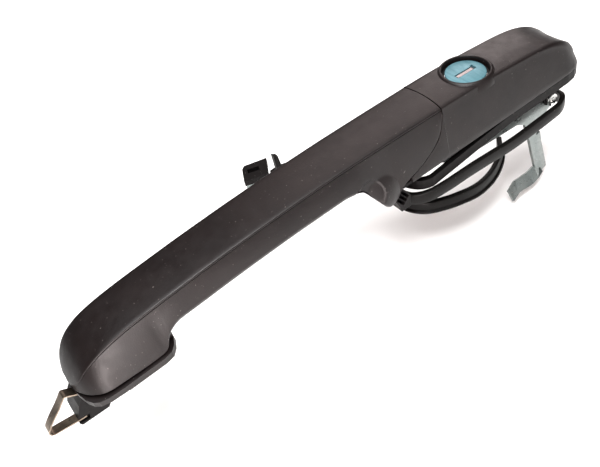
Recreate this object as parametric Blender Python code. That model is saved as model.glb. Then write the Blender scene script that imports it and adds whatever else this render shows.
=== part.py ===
"""Exterior car door handle with a pull grip, key lock and release lever.

Lengths are in millimetres until pt() turns them into metres. X runs from the
nose of the grip to its lock end, +Y is the far side and +Z points out of the
door. Z = 0 is the door skin. The origin is the middle of the front seat.
"""
import bpy
import bmesh
import math
from mathutils import Matrix, Vector

MM = 0.001
ORIGIN_X = 21.0          # nose line to the middle of the front seat
GAP = 0.15               # assembly gap between parts that touch

# Grip
CROWN = 0.8              # rise of the top face at its middle
WALL = 2.4               # moulded wall thickness
PARTING_DROP = 0.6       # parting line below the crease
GRIP_END_X = 168.5       # rear end of the grip on top
ARC_BULGE = 1.3          # how far the parting arc bows rearward at the middle
PIVOT_X, PIVOT_Z = 3.0, 8.2
PIVOT_R = 1.5
HOOK_RELIEF = 0.3        # step in the pad's underside that leaves a flat seat behind the hook

# Lock
LOCK_X, LOCK_Z = 193.3, 23.9
LOCK_TILT = math.radians(3.5)
CAP_R = 8.66
BEZEL_R = 11.7
BEZEL_BORE_R = 9.95
BARREL_HEAD_R = 9.6
BARREL_R = 7.8
PLUG_R = 6.6
BARREL_LENGTH = 26.0
SHUTTER_Y, SHUTTER_H = -0.5, -0.98   # hinge of the key shutter in the lock's frame

# Release lever
LEVER_X, LEVER_Z = 232.0, -8.0
LEVER_PIN_R = 1.6
LEVER_Y0, LEVER_Y1 = -10.9, -9.3

# Lock arm
ARM_Z0, ARM_Z1 = -10.4, -7.4

# Tables of (x, value) along the handle.
CREASE_Z = [(-4.9, 5.6), (-3.6, 7.8), (-1.4, 10.8), (1.5, 13.8), (4.7, 16.0), (10.3, 18.5),
            (18.5, 20.4), (29.3, 21.8), (39.4, 22.7), (59, 24.2), (84, 25.4), (105, 25.9),
            (120, 26.0), (145, 25.6), (168.5, 25.0)]
CREASE_Y = [(-4.9, 3.6), (-4.2, 6.0), (-3, 7.9), (-1, 9.4), (2, 10.3), (6, 10.8), (12, 11.0),
            (60, 10.9), (110, 10.9), (140, 11.1), (168.5, 11.3)]
BASE_Z = [(-4.9, 4.7), (0, 4.3), (10, 3.9), (29, 3.5), (30.6, 4.4), (32, 6.6), (34.5, 8.9),
          (39, 10.0), (48, 10.4), (70, 11.6), (95, 12.5), (116, 12.6), (122.5, 12.6),
          (124.6, 12.2), (125.8, 10.9), (128, 7.3), (131, 2.4), (133.3, -1.3), (135.2, -3.2), (137.5, -3.6), (139.5, -2.0), (141, 1.0),
          (143, 2.9), (147, 4.6), (151, 5.7), (155.5, 7.4), (159.5, 9.5), (163.7, 12.6),
          (166.4, 16.2), (167.8, 20.0), (168.5, 22.6)]
BASE_Y = [(-4.9, 5.0), (-4.2, 7.4), (-3.2, 9.4), (-1.5, 11.8), (0.1, 13.3), (3.3, 15.2), (7, 15.9),
          (17, 15.9), (26.6, 15.6), (30, 15.0), (33, 14.2), (40, 13.7), (60, 13.5), (118, 13.5),
          (128, 14.2), (133, 14.8), (140, 14.9), (150, 14.5), (159.5, 13.9), (165, 13.3),
          (168.5, 12.2)]
BASE_R = [(-4.9, 0.5), (28, 0.6), (33, 2.4), (40, 4.0), (116, 4.0), (122, 2.4),
          (126, 1.2), (130, 1.6), (134, 2.5), (138, 2.6),
          (141, 0.7), (168.5, 0.4)]
GRIP_STATIONS = [-4.8, -4.2, -3.0, -1, 1.5, 5, 10, 18, 27, 30, 32, 35, 40, 50, 65, 82, 100,
                 114, 120, 124, 127, 130, 132.5, 135, 138, 140.5, 143, 147, 151, 156, 160, 163,
                 165.5, 167.2, 168.4]

HOUSING_CREASE_Z = [(168.9, 25.0), (180, 24.6), (198, 23.5), (213, 22.1), (222, 21.1), (230, 19.6),
                    (236, 17.6), (241, 15.0), (245, 11.8), (248, 8.6), (250.5, 5.4), (252.2, 3.6)]
HOUSING_CREASE_Y = [(148, 14.6), (151, 14.5), (159.5, 13.9), (165, 13.3), (168.9, 11.5),
                    (170, 11.4), (228, 11.4), (236, 11.4), (241, 11.3), (245, 10.8), (248, 9.8),
                    (250.4, 7.6), (251.6, 5.2), (252.2, 3.0)]
HOUSING_BASE_Y = [(148, 14.9), (170, 15.1), (233, 15.3), (240, 15.2), (244.5, 14.6), (248, 12.9),
                  (250.3, 10.0), (251.6, 6.6), (252.3, 3.4)]
HOUSING_STATIONS = [148, 151, 156, 160, 163, 165.5, 167.4, 168.7, 169.3, 175, 193.3, 205, 216,
                    224, 230, 235, 239, 242, 244.5, 246.5, 248.5, 250.3, 251.5, 252.2]
HOUSING_BASE_Z = 2.0
SIDE_BOW = 0.15          # outward bow of the housing's sides
LEVER_ROOM = 11.35       # inner half width that clears the rising lever


def pt(x, y, z):
    """Millimetres along the handle to metres from the origin."""
    return Vector(((x - ORIGIN_X) * MM, y * MM, z * MM))


def curve(table, x):
    """Smoothly interpolated value of a table of (x, value)."""
    if x <= table[0][0]:
        return table[0][1]
    if x >= table[-1][0]:
        return table[-1][1]
    i = max(k for k in range(len(table) - 1) if table[k][0] <= x)
    x0, y0 = table[i]
    x1, y1 = table[i + 1]
    step = x1 - x0
    slope = (y1 - y0) / step

    def tangent(k):
        if k <= 0 or k >= len(table) - 1:
            return slope
        a = (table[k][1] - table[k - 1][1]) / (table[k][0] - table[k - 1][0])
        b = (table[k + 1][1] - table[k][1]) / (table[k + 1][0] - table[k][0])
        return 0.0 if a * b <= 0 else 2 * a * b / (a + b)

    t = (x - x0) / step
    m0, m1 = tangent(i), tangent(i + 1)
    return ((2 * t**3 - 3 * t**2 + 1) * y0 + (t**3 - 2 * t**2 + t) * step * m0
            + (-2 * t**3 + 3 * t**2) * y1 + (t**3 - t**2) * step * m1)


def clear_scene():
    for obj in list(bpy.data.objects):
        bpy.data.objects.remove(obj, do_unlink=True)


def material(name, colour, metallic=0.0, roughness=0.5):
    mat = bpy.data.materials.new(name)
    mat.use_nodes = True
    shader = mat.node_tree.nodes["Principled BSDF"]
    shader.inputs["Base Color"].default_value = (*colour, 1.0)
    shader.inputs["Metallic"].default_value = metallic
    shader.inputs["Roughness"].default_value = roughness
    return mat


def finish_mesh(bm, name, origin=(0, 0, 0)):
    """Close a bmesh in millimetres of the handle into a named object."""
    bmesh.ops.remove_doubles(bm, verts=bm.verts, dist=1e-5)
    bmesh.ops.recalc_face_normals(bm, faces=bm.faces)
    base = pt(*origin)
    for v in bm.verts:
        v.co = pt(*v.co) - base
    mesh = bpy.data.meshes.new(name)
    bm.to_mesh(mesh)
    bm.free()
    obj = bpy.data.objects.new(name, mesh)
    obj.location = base
    bpy.context.scene.collection.objects.link(obj)
    return obj


def loft(name, rings, closed=False, origin=(0, 0, 0)):
    """Skin a list of rings of (x, y, z) points and cap the two ends."""
    bm = bmesh.new()
    rows = [[bm.verts.new(p) for p in ring] for ring in rings]
    count = len(rings[0])
    pairs = list(zip(rows, rows[1:]))
    if closed:
        pairs.append((rows[-1], rows[0]))
    for a, b in pairs:
        for i in range(count):
            j = (i + 1) % count
            bm.faces.new((a[i], a[j], b[j], b[i]))
    if not closed:
        bm.faces.new(rows[0])
        bm.faces.new(list(reversed(rows[-1])))
    return finish_mesh(bm, name, origin)


def prism(name, outline, low, high, plane="XY", origin=(0, 0, 0)):
    """Extrude an outline given in one plane along the third axis."""
    place = {"XY": lambda a, b, h: (a, b, h), "XZ": lambda a, b, h: (a, h, b),
             "YZ": lambda a, b, h: (h, a, b)}[plane]
    return loft(name, [[place(a, b, h) for a, b in outline] for h in (low, high)], origin=origin)


def box(name, low, high):
    outline = [(low[0], low[1]), (high[0], low[1]), (high[0], high[1]), (low[0], high[1])]
    return prism(name, outline, low[2], high[2])


def lathe(name, profile, place, count=40, origin=(0, 0, 0)):
    """Turn a closed profile of (radius, height) about a local axis; radius 0 is allowed."""
    bm = bmesh.new()
    rows = []
    for r, h in profile:
        if r <= 1e-9:
            rows.append([bm.verts.new(place(0, 0, h))])
        else:
            angles = [2 * math.pi * (k + 0.5) / count for k in range(count)]
            rows.append([bm.verts.new(place(r * math.cos(a), r * math.sin(a), h)) for a in angles])
    for a, b in zip(rows, rows[1:] + rows[:1]):
        for k in range(count):
            n = (k + 1) % count
            quad = (a[k % len(a)], a[n % len(a)], b[n % len(b)], b[k % len(b)])
            unique = list(dict.fromkeys(quad))
            if len(unique) >= 3:
                bm.faces.new(unique)
    return finish_mesh(bm, name, origin)


def along_y(cx, cz):
    """Local frame whose height runs along +Y through (cx, cz)."""
    return lambda a, b, h: (cx + a, h, cz + b)


def along_z(cx, cy):
    return lambda a, b, h: (cx + a, cy + b, h)


def along_x(cy, cz):
    return lambda a, b, h: (h, cy + a, cz + b)


def at_lock(a, b, h):
    """Point of the lock's own frame: h rises out of the lock face along its axis."""
    c, s = math.cos(LOCK_TILT), math.sin(LOCK_TILT)
    return (LOCK_X + a * c + h * s, b, LOCK_Z - a * s + h * c)


def rod(name, place, radius, low, high, count=20, chamfer=0.0, origin=(0, 0, 0)):
    profile = [(0, low), (radius - chamfer, low), (radius, low + chamfer),
               (radius, high - chamfer), (radius - chamfer, high), (0, high)]
    if chamfer == 0.0:
        profile = [(0, low), (radius, low), (radius, high), (0, high)]
    return lathe(name, profile[:-1] + [(0, high)], place, count, origin)


def screw_profile(head_r, shank_r, head_low, head_high, tip):
    return [(0, head_low), (head_r - 0.25, head_low), (head_r, head_low + 0.25),
            (head_r, head_high), (shank_r, head_high), (shank_r, tip - 0.3),
            (shank_r - 0.3, tip), (0, tip)]


def ring(name, place, inner, outer, low, high, count=36, origin=(0, 0, 0)):
    return lathe(name, [(inner, low), (outer, low), (outer, high), (inner, high)], place, count,
                 origin)


def combine(target, others, operation):
    """Apply an exact boolean with each other object and remove them."""
    for other in others:
        mod = target.modifiers.new("combine", "BOOLEAN")
        mod.operation = operation
        mod.solver = "EXACT"
        mod.object = other
        bpy.context.view_layer.update()
        graph = bpy.context.evaluated_depsgraph_get()
        mesh = bpy.data.meshes.new_from_object(target.evaluated_get(graph))
        target.modifiers.clear()
        old = target.data
        target.data = mesh
        bpy.data.meshes.remove(old)
        bpy.data.objects.remove(other, do_unlink=True)
    target.data.name = target.name
    return target


def cut(target, *others):
    return combine(target, others, "DIFFERENCE")


def join(target, *others):
    return combine(target, others, "UNION")


def keep(target, *others):
    return combine(target, others, "INTERSECT")


def paint(obj, mat):
    obj.data.materials.clear()
    obj.data.materials.append(mat)
    for poly in obj.data.polygons:
        poly.material_index = 0
    return obj


def arc_points(cx, cz, r, start, stop, count):
    angles = [math.radians(start + (stop - start) * k / count) for k in range(count + 1)]
    return [(cx + r * math.cos(a), cz + r * math.sin(a)) for a in angles]


def mirror_ring(x, half):
    """Full ring from the half given as (y, z) points on the +Y side, bottom to top."""
    near = [(x, -y, z) for y, z in reversed(half)]
    return [(x, y, z) for y, z in half] + near


def bow(points, x, start, end, amount):
    """Bow the points near a parting face rearward at their middle."""
    weight = min(1.0, max(0.0, (x - start) / (end - start)))
    return [(px + amount * weight * (1 - (py / 12.5) ** 2), py, pz) for px, py, pz in points]


def crown_points(half_width, z, crown, radius, count=3):
    """Rounded edge and crowned top from the crease to the middle, on the +Y side."""
    edge = arc_points(half_width - radius, z - radius * 0.5, radius, 0, 68, 3)
    last_y, last_z = edge[-1]
    top = z + crown
    rest = []
    for k in range(1, count + 1):
        t = k / (count + 0.5)
        rest.append((last_y * (1 - t), last_z + (top - last_z) * (1 - (1 - t) ** 2)))
    return edge + rest


def grip_half(x):
    """Half section of the grip body below its parting line."""
    crease_y = curve(CREASE_Y, x)
    crease_z = curve(CREASE_Z, x)
    base_z = curve(BASE_Z, x)
    base_y = max(curve(BASE_Y, x), crease_y + 0.1)
    top_z = crease_z - PARTING_DROP - GAP
    radius = min(curve(BASE_R, x), max(0.25, (top_z - base_z) * 0.4))
    lower = arc_points(base_y - radius, base_z + radius, radius, -90, -5, 4)
    y0, z0 = lower[-1]
    side = [(y0 + (crease_y - y0) * t, z0 + (top_z - z0) * t) for t in (0.35, 0.7, 1.0)]
    return lower + side


def make_grip_body(mat):
    rings = [bow(mirror_ring(x, grip_half(x)), x, 150, GRIP_END_X, ARC_BULGE)
             for x in GRIP_STATIONS]
    body = loft("grip_body", rings, origin=(PIVOT_X, 0, PIVOT_Z))
    hollow = []
    for x in [-0.5, 2, 6, 12, 20, 28, 34, 42, 60, 80, 100, 118, 126, 132, 140, 147, 154]:
        top = curve(CREASE_Z, x) + 4
        floor = max(curve(BASE_Z, x) + WALL, 7.0)
        wide = curve(CREASE_Y, x) - WALL
        low = min(wide, curve(BASE_Y, x) - curve(BASE_R, x) - 1.2)
        hollow.append([(x, low, floor), (x, wide, top - 6), (x, wide, top), (x, -wide, top),
                       (x, -wide, top - 6), (x, -low, floor)])
    foot = prism("foot_hollow", [(-1, -8.9), (27.4, -11.5), (27.4, 11.5), (-1, 8.9)], 0, 12)
    pin = rod("pin_hole", along_y(PIVOT_X, PIVOT_Z), PIVOT_R + 0.05, -11.6, 11.6, 16)
    cut(body, loft("cavity", hollow), foot, pin)
    for x, z in ((60, 0), (132, -10)):
        cut(body, rod("screw_hole", along_z(x, 0), 1.75, z, 20, 16),
            rod("screw_seat", along_z(x, 0), 3.3, z, curve(BASE_Z, x) + 1.1, 20))
    return paint(body, mat)


def make_grip_cover(mat):
    rings = []
    for x in GRIP_STATIONS[1:]:
        half_width = curve(CREASE_Y, x)
        z = curve(CREASE_Z, x)
        upper = crown_points(half_width, z, CROWN, 1.1)
        rim = z - PARTING_DROP
        inner = half_width - WALL - GAP
        half = [(inner, rim - 1.6), (inner, rim), (half_width, rim)] + upper
        if not 1.0 < x < 150.0:
            half[0] = (inner, rim - 0.05)
        rings.append(bow(mirror_ring(x, half), x, 150, GRIP_END_X, ARC_BULGE))
    cover = loft("grip_cover", rings, origin=(PIVOT_X, 0, PIVOT_Z))
    return paint(cover, mat)


def make_grip_core(mat):
    """Die-cast bar that stiffens the hollow grip."""
    rings = []
    for x in (34, 42, 60, 80, 100, 118, 126, 132, 140, 147):
        floor = max(curve(BASE_Z, x) + WALL, 7.0) + 0.5
        height = 7.0 if 36 < x < 140 else 5.5
        half = [(6.0, floor), (6.0, floor + height - 1), (5.0, floor + height)]
        rings.append(mirror_ring(x, half))
    core = loft("grip_core", rings, origin=(PIVOT_X, 0, PIVOT_Z))
    for x in (60, 132):
        cut(core, rod("core_hole", along_z(x, 0), 1.55, 0, 30, 16))
    return paint(core, mat)


def make_grip_screws(mat):
    for name, x, floor in (("grip_screw_front", 60, 0), ("grip_screw_rear", 132, 0)):
        seat = curve(BASE_Z, x) + 1.1
        top = max(curve(BASE_Z, x) + WALL, 7.0) + 5.5
        head = lathe(name, screw_profile(2.9, 1.45, seat - 1.15, seat - 0.1, top),
                     along_z(x, 0), 20, (PIVOT_X, 0, PIVOT_Z))
        cut(head, box("slot", (x - 3.5, -0.4, seat - 2), (x + 3.5, 0.4, seat - 0.7)))
        paint(head, mat)


def make_grip_tongue(mat):
    """Ribbed block under the rear foot, with the hook that lifts the release lever."""
    x0, x1 = 141.3, 146.4
    outline = [(x0, -11.0), (x1, -11.0), (x1, 3.0), (x0 + 2.2, 1.8), (x0, 0.4)]
    block = prism("grip_tongue", outline, -13.4, 12.6, "XZ", origin=(PIVOT_X, 0, PIVOT_Z))
    join(block, box("hook", (x1 - 1.0, LEVER_Y0, -2.7), (160.5, LEVER_Y1, -0.9)))
    for z in (-9.6, -5.4, -1.2):
        cut(block, box("cell", (x0 + 0.9, -14.5, z), (x1 - 0.9, -11.9, z + 3.2)))
        cut(block, box("cell", (x0 + 0.9, 11.2, z), (x1 - 0.9, 13.8, z + 3.2)))
    return paint(block, mat)


def housing_half(x):
    """Half section of the lock housing, cut off by the parting arc at its front."""
    base_y = curve(HOUSING_BASE_Y, x)
    if x < 168.9:
        top = curve(BASE_Z, x) - 0.5
        top_y = base_y - (top - HOUSING_BASE_Z) * 0.137
        radius = 0.3
        crown = 0.05
        top = max(top, HOUSING_BASE_Z + 1.4)
    else:
        top = curve(HOUSING_CREASE_Z, x)
        top_y = curve(HOUSING_CREASE_Y, x)
        radius = 1.1
        crown = CROWN
    if x > 236:
        radius = min(2.2, 1.1 + (x - 236) * 0.15, top_y * 0.5, max(0.35, (top - 2.5) * 0.4))
        crown = CROWN * (253.0 - x) / 17.0
    base = [(base_y - 0.5, HOUSING_BASE_Z), (base_y, HOUSING_BASE_Z + 0.5)]
    middle = top - radius * 0.5
    y0, z0 = base[-1]
    side = [(y0 + (top_y - y0) * t + SIDE_BOW * 4 * t * (1 - t), z0 + (middle - z0) * t)
            for t in (0.35, 0.7)]
    return base + side + crown_points(top_y, top, crown, radius)


def make_housing(mat):
    rings = [bow(mirror_ring(x, housing_half(x)), x, 148, GRIP_END_X, ARC_BULGE)
             for x in HOUSING_STATIONS]
    shell = loft("lock_housing", rings, origin=(LOCK_X, 0, HOUSING_BASE_Z))
    hollow = []
    for x in (167, 169, 172, 180, 193, 205, 215, 225, 232, 237, 241, 243.5):
        lid = curve(HOUSING_CREASE_Z, x) - WALL - 0.8
        low = curve(HOUSING_BASE_Y, x) - WALL
        high = (curve(HOUSING_CREASE_Y, x) if x > 168.9 else 11.8) - WALL
        if x > 240:
            low, high, lid = low - 1.0, high - 1.5, lid - 2.0
        waist_z = min(16.5, 3 + (lid - 3) * 0.7)
        waist = high + (low - high) * (lid - waist_z) / (lid - 3)
        if x < 207:
            waist = max(waist, LEVER_ROOM)
        half = [(low, 0), (low, 3), (waist, waist_z), (high, lid)]
        hollow.append(mirror_ring(x, half))
    join(shell, lathe("collar", [(0, -6), (12.15, -6), (12.8, -1.45), (11.4, 0.95), (0, 0.95)],
                      at_lock, 46))
    bore = rod("bore", at_lock, 10.45, -12, 6, 48)
    seat = rod("seat", at_lock, BEZEL_R + GAP, -0.5, 6, 48)
    throat = box("throat", (140, -12.25, -0.5), (168.1, 12.25, 20))
    cut(shell, loft("hollow", hollow), bore, seat, throat)
    for x in (174.5, 220.5):
        lid = curve(HOUSING_CREASE_Z, x) - WALL
        boss = rod("boss", along_z(x, 0), 3.2, HOUSING_BASE_Z - 3.0, lid, 20)
        join(shell, boss)
        cut(shell, rod("boss_hole", along_z(x, 0), 1.35, -5, 12, 16))
    return paint(shell, mat)


def make_bezel(mat):
    lip = [(BEZEL_BORE_R, -5.0), (10.3, -5.0), (10.3, -0.4), (BEZEL_R, -0.4), (BEZEL_R, 0.9),
           (BEZEL_R - 0.35, 1.35), (BEZEL_R - 0.9, 1.5), (BEZEL_BORE_R + 0.25, 1.3),
           (BEZEL_BORE_R, 0.9)]
    return paint(lathe("lock_bezel", lip, at_lock, 44, at_lock(0, 0, 0)), mat)


def slope_z(x):
    """Upper edge of the base frame, sloping down to its U-shaped front end."""
    return max(-3.6, min(HOUSING_BASE_Z - GAP, HOUSING_BASE_Z - (203 - x) * 0.105))


def base_outline(inset):
    """Plan outline of the base frame, rounded at both ends."""
    points = arc_points(160.5, 0, 1.0, 100, 260, 14)
    front = [(160.5 + (px - 160.5) * (11.0 - inset), pz * (14.9 - inset)) for px, pz in points]
    rear = []
    for x in (233, 240, 244.5, 248, 250.3, 251.5):
        rear.append((x - inset * (0.2 if x < 243 else 0.9), -(curve(HOUSING_BASE_Y, x) - inset)))
    return front + rear + [(x, -y) for x, y in reversed(rear)]


def make_base_frame(mat):
    frame = prism("base_frame", base_outline(0.1), -12, 1.85, origin=(LOCK_X, 0, 0))
    cut(frame, prism("opening", base_outline(2.5), -14, 4))
    lower = [(145, -8.8), (152, -8.6), (204, -2.6), (255, -2.6), (255, 3)]
    upper = [(203, 3), (203, 1.8), (152, -3.6), (145, -3.9)]
    keep(frame, prism("side_profile", lower + upper, -20, 20, "XZ"))
    return paint(frame, mat)


def make_bracket(mat):
    """Die-cast carrier under the housing: lock bore, lever lugs and the threaded boss."""
    plate = prism("bracket", [(168, -9.0), (238, -9.0), (241, -6), (241, 9.2), (168, 9.2)],
                  -3.4, -1.2, origin=(LOCK_X, 0, 0))
    lug_a = prism("lug", [(227, -1.5), (237, -1.5), (236, -11.0), (232, -12.2), (228, -11.0)],
                  -9.0, -7.4, "XZ")
    lug_b = prism("lug", [(227, -1.5), (237, -1.5), (236, -11.0), (232, -12.2), (228, -11.0)],
                  -1.6, 0.0, "XZ")
    rib = box("rib", (200, 7.2, -1.5), (240, 9.2, 1.4))
    boss = rod("boss", along_x(5.0, -7.6), 4.6, 229.0, 240.5, 28)
    web = box("web", (229.5, 3.2, -6), (240.5, 6.8, -1.8))
    join(plate, lug_a, lug_b, rib, boss, web)
    cut(plate, rod("bore", at_lock, BARREL_R + 0.12, -40, -10, 40),
        rod("pin_hole", along_y(LEVER_X, LEVER_Z), LEVER_PIN_R + GAP / 2, -12, 3, 20),
        rod("thread_hole", along_x(5.0, -7.6), 2.6, 231.5, 243, 20))
    for x in (174.5, 220.5):
        cut(plate, rod("hole", along_z(x, 0), 1.75, -6, 2, 16))
    return paint(plate, mat)


def make_bracket_screws(mat):
    for name, x in (("bracket_screw_front", 174.5), ("bracket_screw_rear", 220.5)):
        head = lathe(name, screw_profile(2.9, 1.3, -5.2, -3.5, 9.0), along_z(x, 0), 20,
                     (x, 0, -3.4))
        cut(head, box("slot", (x - 3.5, -0.4, -6), (x + 3.5, 0.4, -4.6)))
        paint(head, mat)


def make_fixing_screw(mat):
    """Door fixing screw in the threaded boss at the rear of the carrier."""
    place = along_x(5.0, -7.6)
    screw = lathe("fixing_screw",
                  [(0, 233.0), (1.9, 233.0), (2.5, 233.8), (2.5, 242.0), (4.9, 242.0),
                   (4.9, 242.7), (4.2, 244.2), (2.9, 245.0), (0, 245.0)], place, 24,
                  (242, 5.0, -7.6))
    hexagon = [(5.0 + 1.7 * math.cos(math.radians(a)), -7.6 + 1.7 * math.sin(math.radians(a)))
               for a in range(0, 360, 60)]
    cut(screw, prism("socket", hexagon, 243.2, 247, "YZ"))
    return paint(screw, mat)


def make_barrel(mat):
    outline = [(PLUG_R + 0.06, -BARREL_LENGTH), (BARREL_R, -BARREL_LENGTH), (BARREL_R, -6.0),
               (BARREL_HEAD_R, -5.4), (BARREL_HEAD_R, -1.3), (PLUG_R + 0.06, -1.3)]
    return paint(lathe("lock_barrel", outline, at_lock, 44, at_lock(0, 0, 0)), mat)


def make_o_ring(mat):
    circle = [(9.45 + 0.9 * math.cos(a), -7.1 + 0.9 * math.sin(a))
              for a in [math.radians(60 * k) for k in range(6)]]
    return paint(lathe("barrel_o_ring", circle, at_lock, 28, at_lock(0, 0, 0)), mat)


def lock_box(name, low, high, origin=(0, 0, 0)):
    """Box given in the lock's own frame."""
    corners = [(low[0], low[1]), (high[0], low[1]), (high[0], high[1]), (low[0], high[1])]
    rings = [[at_lock(a, b, h) for a, b in corners] for h in (low[2], high[2])]
    return loft(name, rings, origin=origin)


def make_plug(mats):
    plug = rod("lock_plug", at_lock, PLUG_R, -29.4, -1.1, 40, origin=at_lock(0, 0, 0))
    cut(plug, lock_box("keyway", (-5.0, -1.1, -23.0), (5.0, 1.1, 1)))
    cut(plug, ring("groove", at_lock, 5.65, 8.0, -27.2, -26.25))
    for k in range(3):
        h = -6.5 - 4.0 * k
        cut(plug, lock_box("wafer_slot", (-2.6, -8, h - 0.6), (2.6, 8, h + 0.6)))
    paint(plug, mats["zinc"])
    cap = rod("lock_face", at_lock, CAP_R, -0.95, 0.0, 44, 0.15, origin=at_lock(0, 0, 0))
    slot = [(-5.0, -1.1), (5.0, -1.1), (5.0, 1.75), (3.6, 1.75), (3.6, 1.1), (-5.0, 1.1)]
    cut(cap, loft("slot", [[at_lock(a, b, h) for a, b in slot] for h in (-3, 3)]))
    paint(cap, mats["teal"])
    for k in range(3):
        h = -6.5 - 4.0 * k
        shift = (0.2, -0.3, 0.1)[k]
        wafer = lock_box("wafer_%d" % (k + 1), (-2.45, -5.7 + shift, h - 0.45),
                         (2.45, 5.7 + shift, h + 0.45), at_lock(0, 0, 0))
        cut(wafer, lock_box("window", (-1.6, -2.6, h - 2), (1.6, 2.6, h + 2)))
        paint(wafer, mats["brass"])
    clip = ring("plug_circlip", at_lock, 5.75, 7.5, -27.05, -26.4, 36, at_lock(0, 0, 0))
    cut(clip, lock_box("clip_gap", (4, -2.2, -30), (10, 2.2, -20)))
    paint(clip, mats["steel"])
    cam = ring("plug_cam", at_lock, 2.4, 6.6, -36.7, -35.4, 28, at_lock(0, 0, 0))
    arm = lock_box("finger", (4.5, -1.8, -36.6), (10.5, 1.8, -35.5))
    join(cam, arm)
    cut(cam, lock_box("square", (-2.5, -2.5, -40), (2.5, 2.5, -30)))
    paint(cam, mats["zinc"])
    tail = lock_box("plug_tail", (-2.35, -2.35, -37.4), (2.35, 2.35, -29.5), at_lock(0, 0, 0))
    paint(tail, mats["zinc"])


def make_shutter(mats):
    """Dust flap in the keyway, turning on a thin pin along the slot's edge."""
    def along_slot(a, b, h):
        return at_lock(h, SHUTTER_Y + a, SHUTTER_H + b)

    hinge = at_lock(0, SHUTTER_Y, SHUTTER_H)
    flap = lock_box("key_shutter", (-4.7, -0.6, -0.85), (3.9, 0.9, -0.3), hinge)
    join(flap, rod("knuckle", along_slot, 0.58, -4.65, 3.85, 14))
    cut(flap, rod("pin_hole", along_slot, 0.34, -6, 6, 14))
    pin = rod("shutter_pin", along_slot, 0.27, -4.9, 4.9, 10, origin=hinge)
    paint(flap, mats["shutter"])
    paint(pin, mats["steel"])


def make_lock_arm(mats):
    """Black arm from the lock's tail to the rod clip on the far side."""
    outline = [(LOCK_X - 8, 9.2), (150, 25.5), (126, 36.5), (117.5, 39.5), (114, 43.2),
               (115.5, 48), (120, 48.2), (130, 44.8), (154, 35.5), (LOCK_X + 4, 13.0)]
    arm = prism("lock_arm", outline, ARM_Z0, ARM_Z1, origin=(LOCK_X, 0, ARM_Z0))
    hub = rod("hub", along_z(LOCK_X - 2.0, 0), 9.0, ARM_Z0, ARM_Z1, 36)
    bridge = box("bridge", (LOCK_X - 9, 4, ARM_Z0), (LOCK_X + 5.5, 13, ARM_Z1))
    join(arm, hub, bridge)
    lugs = ((119, 41.5), (135, 37))
    cut(arm, rod("hub_hole", along_z(LOCK_X - 2.0, 0), 3.6, -14, 2, 28))
    fin = loft("fin", [[(x, y - 1.0, ARM_Z1 - 0.4), (x, y + 1.0, ARM_Z1 - 0.4), (x, y + 1.0, top),
                        (x, y - 1.0, top)] for x, y, top in ((115.6, 40.6, 6.6), (117.4, 39.9, 6.0),
                                                             (118.0, 39.7, -0.8),
                                                             (134.0, 33.6, -6.6))])
    join(arm, fin)
    for x, y in lugs[:1]:
        cut(arm, rod("rivet_hole", along_z(x, y + 2.6), 1.3, -14, -5, 16))
    paint(arm, mats["plastic"])
    clip = prism("rod_clip", [(101.7, 44.8), (103.6, 46.2), (113.6, 42.9), (108.4, 33.9),
                              (98.0, 37.4)], 2.2, 5.0, origin=(107, 42, 2.2))
    join(clip, box("stem", (104.8, 43.6, ARM_Z0 - 0.05), (110.0, 45.0, 2.6)))
    cut(clip, prism("slot", [(102.2, 40.6), (107.2, 38.6), (108.2, 41.0), (103.2, 43.0)], 0, 8))
    paint(clip, mats["plastic"])
    plate = prism("arm_plate", [(98.5, 37.6), (108.6, 34.2), (113.4, 38.6), (123, 38.8), (124, 47.4),
                                (114, 50.6), (102, 49.6)], ARM_Z0 - 1.6, ARM_Z0 - GAP)
    join(plate, prism("flange", [(98.5, 37.6), (108.6, 34.2), (109.0, 35.4), (98.9, 38.8)],
                      ARM_Z0 - 1.0, 2.1))
    cut(plate, rod("rivet_hole", along_z(119, 44.1), 1.3, -16, -5, 16))
    paint(plate, mats["zinc"])
    top, tail = ARM_Z1 + 0.05, ARM_Z0 - 1.65
    rivet = lathe("arm_rivet", [(0, tail - 0.9), (1.8, tail - 0.9), (2.0, tail), (1.2, tail),
                                (1.2, top), (2.2, top), (2.0, top + 0.8), (0, top + 1.0)],
                  along_z(119, 44.1), 16)
    paint(rivet, mats["steel"])


def make_pad(mat):
    near = [(-5.3, 2.1), (-4.9, 5.2), (-4.3, 8.1), (-3.3, 11.6), (-1.8, 14.4), (0.2, 16.0),
            (3.8, 16.9), (10, 17.1), (27, 16.7), (30.5, 15.9), (32.8, 13.4), (34.4, 10.0)]
    outline = near + [(x, -y) for x, y in reversed(near)]
    pad = prism("front_pad", outline, 0, 2.9)
    lip = box("lip", (33.0, -10.0, 1.0), (34.4, 9.6, 5.6))
    for side in (-1, 1):
        y0, y1 = sorted((side * 4.6, side * 7.2))
        lug = prism("lug", [(-0.8, 2.0), (7.6, 2.0), (6.2, 9.6), (3.0, 11.6), (0.0, 9.6)], y0, y1,
                    "XZ")
        join(pad, lug)
    join(pad, lip)
    cut(pad, rod("pin_hole", along_y(PIVOT_X, PIVOT_Z), PIVOT_R + 0.05, -9, 9, 20))
    cut(pad, box("clip_notch", (-8, -5.4, -1), (-3.6, -0.6, 2.0)),
        box("hook_relief", (-8, -18, -1), (11.0, 18, HOOK_RELIEF)))
    return paint(pad, mat)


def make_hook(mat):
    outline = [(-3.3, HOOK_RELIEF - GAP), (7.5, HOOK_RELIEF - GAP), (7.5, -7.6), (1.4, -14.8), (-9.9, -14.6),
               (-10.5, -13.2), (-6.2, -13.9), (-5.6, -11.4), (-10.2, -11.0), (-7.1, -4.8)]
    hook = prism("front_hook", outline, -5.6, 5.6, "XZ")
    cut(hook, box("pocket", (-3.0, -3.6, -9.5), (7.0, 3.6, -3.5)),
        box("pocket_mouth", (2.0, -3.6, -9.5), (14.0, 3.6, -3.5)))
    return paint(hook, mat)


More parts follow.
